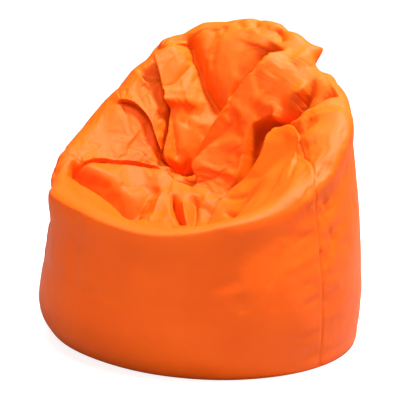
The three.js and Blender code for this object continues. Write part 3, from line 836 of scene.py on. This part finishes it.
def tone(nodes, links, factor, dark, light, low=0.3, high=0.7):
    """A colour between two others, as the factor goes from low to high."""
    ramp = nodes.new("ShaderNodeValToRGB")
    ramp.color_ramp.elements[0].position = low
    ramp.color_ramp.elements[0].color = (*dark, 1)
    ramp.color_ramp.elements[1].position = high
    ramp.color_ramp.elements[1].color = (*light, 1)
    links.new(factor, ramp.inputs["Fac"])
    return ramp.outputs["Color"]


def bumped(nodes, links, shader, layers):
    """Stacks bump layers, each (height, distance, strength), onto a shader."""
    normal = None
    for height, distance, strength in layers:
        bump = nodes.new("ShaderNodeBump")
        bump.inputs["Distance"].default_value = distance
        bump.inputs["Strength"].default_value = strength
        links.new(height, bump.inputs["Height"])
        if normal is not None:
            links.new(normal, bump.inputs["Normal"])
        normal = bump.outputs["Normal"]
    links.new(normal, shader.inputs["Normal"])


# A wave texture shows 3.2 bands to the metre for each unit of its scale, so a scale of this over the
# thread's width gives one band to each thread.
BAND_SHARE = 0.31


def woven(name, dark, light, roughness, thread, sheen=0.0, specular=0.2, crinkle=0.0):
    """A plain weave of the given thread width in metres, with slow changes of tone and faint crinkles."""
    material, nodes, links, shader = new_material(name)
    place = nodes.new("ShaderNodeTexCoord")
    body, cloth = place.outputs["Object"], place.outputs["UV"]
    links.new(tone(nodes, links, noise(nodes, links, body, 9), dark, light), shader.inputs["Base Color"])
    rough = nodes.new("ShaderNodeMapRange")
    rough.inputs["To Min"].default_value = roughness - 0.06
    rough.inputs["To Max"].default_value = roughness + 0.06
    links.new(noise(nodes, links, body, 30), rough.inputs["Value"])
    links.new(rough.outputs["Result"], shader.inputs["Roughness"])
    shader.inputs["Specular IOR Level"].default_value = specular
    shader.inputs["Sheen Weight"].default_value = sheen
    shader.inputs["Sheen Roughness"].default_value = 0.4
    shader.inputs["Sheen Tint"].default_value = (1.0, 0.4, 0.1, 1)
    warp = bands(nodes, links, cloth, BAND_SHARE / thread, "X")
    weft = bands(nodes, links, cloth, BAND_SHARE / thread, "Y")
    layers = [(warp, 0.3 * thread, 0.35), (weft, 0.3 * thread, 0.35)]
    if crinkle:
        layers.append((noise(nodes, links, body, 26, 4), crinkle, 0.25))
        layers.append((noise(nodes, links, body, 75, 5, 0.6), 0.3 * crinkle, 0.3))
    bumped(nodes, links, shader, layers)
    return material


def bead_foam():
    """Expanded beads a few millimetres across, showing as a packed pebbly face, with painted shade in the
    gaps between them.
    """
    material, nodes, links, shader = new_material("polystyrene_beads")
    place = nodes.new("ShaderNodeTexCoord")
    cells = nodes.new("ShaderNodeTexVoronoi")
    cells.inputs["Scale"].default_value = 260
    links.new(place.outputs["Object"], cells.inputs["Vector"])
    # Painted shade: the colour darkens away from each bead's middle, into the hollows between the beads.
    colour = tone(nodes, links, cells.outputs["Distance"], (0.95, 0.95, 0.93), (0.66, 0.66, 0.63), 0.35, 0.85)
    links.new(colour, shader.inputs["Base Color"])
    shader.inputs["Roughness"].default_value = 0.85
    hollow = nodes.new("ShaderNodeMath")
    hollow.operation = "SUBTRACT"
    hollow.inputs[0].default_value = 1.0
    links.new(cells.outputs["Distance"], hollow.inputs[1])
    bumped(nodes, links, shader, [(hollow.outputs["Value"], 0.002, 0.9)])
    return material


def nylon_coil():
    """Glossy monofilament, in nearly the cover's colour."""
    material, nodes, links, shader = new_material("zip_coil")
    place = nodes.new("ShaderNodeTexCoord")
    speck = noise(nodes, links, place.outputs["Object"], 120, 2)
    colour = tone(nodes, links, speck, (0.66, 0.068, 0.002), (0.76, 0.085, 0.004))
    links.new(colour, shader.inputs["Base Color"])
    shader.inputs["Roughness"].default_value = 0.32
    shader.inputs["Specular IOR Level"].default_value = 0.45
    return material


def nickel():
    """Die-cast nickel plate: bright, with a fine grain and duller rubbed patches."""
    material, nodes, links, shader = new_material("zip_metal")
    place = nodes.new("ShaderNodeTexCoord")
    grain = noise(nodes, links, place.outputs["Object"], 900, 4)
    colour = tone(nodes, links, grain, (0.46, 0.47, 0.48), (0.62, 0.63, 0.64))
    links.new(colour, shader.inputs["Base Color"])
    shader.inputs["Metallic"].default_value = 1.0
    rough = nodes.new("ShaderNodeMapRange")
    rough.inputs["To Min"].default_value = 0.22
    rough.inputs["To Max"].default_value = 0.42
    links.new(noise(nodes, links, place.outputs["Object"], 400, 2), rough.inputs["Value"])
    links.new(rough.outputs["Result"], shader.inputs["Roughness"])
    bumped(nodes, links, shader, [(grain, 0.00004, 0.4)])
    return material


# ---------------------------------------------------------------- the studio

CAMERA_AZIMUTH = 15
CAMERA_ELEVATION = 13
CAMERA_DISTANCE = 3.5
CAMERA_LENS = 125.3
CAMERA_CENTRE = Vector((0, 0, 0.36))
CAMERA_AIM = Vector((0, 0, 0.342))
LIGHT_AIM = Vector((0, 0, 0.35))
FLOOR_REACH = 40


def studio():
    """The floor, the white backdrop, four lights and the camera."""
    corners = [(x * FLOOR_REACH, y * FLOOR_REACH, 0) for x, y in ((-1, -1), (1, -1), (1, 1), (-1, 1))]
    floor = make_object("floor", corners, [(0, 1, 2, 3)])
    floor.data.materials.append(floor_white())
    white_world()
    area_light("key", (1.2, 0.35, 3.2), 0.6, 300)
    area_light("top", (-0.2, -1.0, 3.0), 1.2, 56)
    area_light("side", (3.2, -1.6, 1.4), 1.2, 22)
    area_light("front", (-0.8, -3.8, 1.0), 2.0, 52)
    a, e = math.radians(CAMERA_AZIMUTH), math.radians(CAMERA_ELEVATION)
    back = Vector((math.sin(a) * math.cos(e), -math.cos(a) * math.cos(e), math.sin(e)))
    camera = bpy.data.objects.new("camera", bpy.data.cameras.new("camera"))
    camera.data.lens = CAMERA_LENS
    camera.data.sensor_width = 36
    camera.location = CAMERA_CENTRE + back * CAMERA_DISTANCE
    aim = CAMERA_AIM - camera.location
    camera.rotation_euler = aim.to_track_quat("-Z", "Y").to_euler()
    bpy.context.scene.collection.objects.link(camera)
    bpy.context.scene.camera = camera
    bpy.context.scene.view_settings.view_transform = "Standard"


def white_world():
    """Pure white where the camera sees it, and a softer white as a light."""
    world = bpy.data.worlds.new("studio")
    bpy.context.scene.world = world
    world.use_nodes = True
    nodes, links = world.node_tree.nodes, world.node_tree.links
    backdrop = nodes["Background"]
    backdrop.inputs["Color"].default_value = (1, 1, 1, 1)
    backdrop.inputs["Strength"].default_value = 1.0
    soft = nodes.new("ShaderNodeBackground")
    soft.inputs["Color"].default_value = (1, 0.99, 0.97, 1)
    soft.inputs["Strength"].default_value = 0.37
    path = nodes.new("ShaderNodeLightPath")
    mix = nodes.new("ShaderNodeMixShader")
    links.new(path.outputs["Is Camera Ray"], mix.inputs["Fac"])
    links.new(soft.outputs["Background"], mix.inputs[1])
    links.new(backdrop.outputs["Background"], mix.inputs[2])
    links.new(mix.outputs["Shader"], nodes["World Output"].inputs["Surface"])


def floor_white():
    """A white sweep with a painted glow, seen by the camera only: the glow is weaker near the bag, painted
    shade round it on top of its real shadow, and whole further out, to meet the backdrop without an edge.
    """
    material, nodes, links, shader = new_material("floor_white")
    shader.inputs["Base Color"].default_value = (0.45, 0.45, 0.45, 1)
    shader.inputs["Roughness"].default_value = 0.9
    shader.inputs["Specular IOR Level"].default_value = 0.0
    shader.inputs["Emission Color"].default_value = (1, 1, 1, 1)
    place = nodes.new("ShaderNodeTexCoord")
    length = nodes.new("ShaderNodeVectorMath")
    length.operation = "LENGTH"
    links.new(place.outputs["Object"], length.inputs[0])
    # Painted glow on the floor for the camera, dimmer close to the bag: painted shade round it.
    glow = nodes.new("ShaderNodeMapRange")
    glow.inputs["From Min"].default_value = 0.45
    glow.inputs["From Max"].default_value = 1.6
    glow.inputs["To Min"].default_value = 0.8
    glow.inputs["To Max"].default_value = 1.0
    links.new(length.outputs["Value"], glow.inputs["Value"])
    path = nodes.new("ShaderNodeLightPath")
    seen = nodes.new("ShaderNodeMath")
    seen.operation = "MULTIPLY"
    links.new(glow.outputs["Result"], seen.inputs[0])
    links.new(path.outputs["Is Camera Ray"], seen.inputs[1])
    links.new(seen.outputs["Value"], shader.inputs["Emission Strength"])
    return material


def area_light(name, place, size, power):
    """A round lamp of the given size in metres and power in watts, turned to the bag."""
    light = bpy.data.lights.new(name, "AREA")
    light.shape = "DISK"
    light.size = size
    light.energy = power
    lamp = bpy.data.objects.new(name, light)
    lamp.location = place
    aim = LIGHT_AIM - Vector(place)
    lamp.rotation_euler = aim.to_track_quat("-Z", "Y").to_euler()
    bpy.context.scene.collection.objects.link(lamp)


# ---------------------------------------------------------------- the build


def place_piece(piece, material, node, body="bag"):
    """Gives a piece its material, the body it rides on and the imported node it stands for."""
    piece.data.materials.append(material)
    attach(piece, body)
    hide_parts(node)
    return piece


def build_cover():
    """The three side panels and the underside panel with its piping."""
    orange = woven("cover_fabric", (0.60, 0.066, 0.0), (0.64, 0.077, 0.0), 0.52, 0.0005,
                   sheen=0.04, specular=0.12, crinkle=0.006)
    # The underside and its piping are a darker orange than the side panels, which draws a dark line round the
    # foot of the bag.
    heavy = woven("base_fabric", (0.50, 0.045, 0.002), (0.56, 0.055, 0.003), 0.72, 0.0009, specular=0.15)
    panels = [
        ("cover_front", "cover_front_panel", LEFT_SEAM, RIGHT_SEAM),
        ("cover_right", "cover_right_panel", RIGHT_SEAM, BACK_SEAM),
        ("cover_left", "cover_left_panel", BACK_SEAM, LEFT_SEAM),
    ]
    for name, node, first, second in panels:
        place_piece(make_panel(name, first, second), orange, node)
    place_piece(base_panel("cover_base"), heavy, "cover_base_panel")


def build_inside():
    """The liner, its closure and the beads, following the cover's folds."""
    angle, row = np.meshgrid(np.linspace(0, 360, INNER_COLUMNS, endpoint=False), mesh_rows(0.6))
    base, up, height = surface(angle, row), normals(angle, row), sunk(folded(angle, row)[0])
    cloth = woven("liner_fabric", (0.80, 0.79, 0.74), (0.88, 0.87, 0.83), 0.8, 0.0006, crinkle=0.004)
    pile = woven("closure_tape", (0.72, 0.72, 0.68), (0.82, 0.82, 0.78), 0.9, 0.0011)
    liner = make_inner("liner_bag", base, up, height, ripple=0.0006, **LINER)
    place_piece(liner, cloth, "liner_side")
    fill = make_inner("beads", base, up, height, ripple=0.0008, **FILL)
    place_piece(fill, bead_foam(), "bead_fill")
    hooks = patch("hook_strip", layer=HOOKS, pile=0.0004, **CLOSURE)
    place_piece(hooks, pile, "liner_hook_strip")
    loops = patch("loop_strip", layer=LOOPS, pile=0.0003, **CLOSURE)
    place_piece(loops, pile, "liner_loop_strip")


def build_zip():
    """The tapes and coils, and the metal of the slider, its pull tab and the stops."""
    tape = woven("zip_tape", (0.62, 0.060, 0.002), (0.70, 0.072, 0.003), 0.8, 0.0004)
    coil = nylon_coil()
    for word, side in (("left", 1), ("right", -1)):
        place_piece(zip_tape(f"tape_{word}", side), tape, f"zip_tape_{word}")
        place_piece(zip_coil(f"coil_{word}", side), coil, f"zip_coil_{word}")
    metal = nickel()
    for name in ("zip_slider", "zip_pull_tab", "zip_top_stop_left", "zip_top_stop_right", "zip_bottom_stop"):
        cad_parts[name].data.materials.clear()
        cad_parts[name].data.materials.append(metal)


def build_label():
    """The blank label low on the back."""
    satin = woven("label_fabric", (0.84, 0.83, 0.78), (0.90, 0.89, 0.85), 0.5, 0.0003)
    label = patch("label", layer=LABEL_LAYER, **LABEL)
    place_piece(label, satin, "care_label")


def build_liner_base():
    """The liner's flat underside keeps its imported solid, in the liner's cloth."""
    cloth = bpy.data.materials["liner_fabric"]
    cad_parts["liner_base"].data.materials.clear()
    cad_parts["liner_base"].data.materials.append(cloth)


studio()
build_cover()
build_inside()
build_zip()
build_label()
build_liner_base()
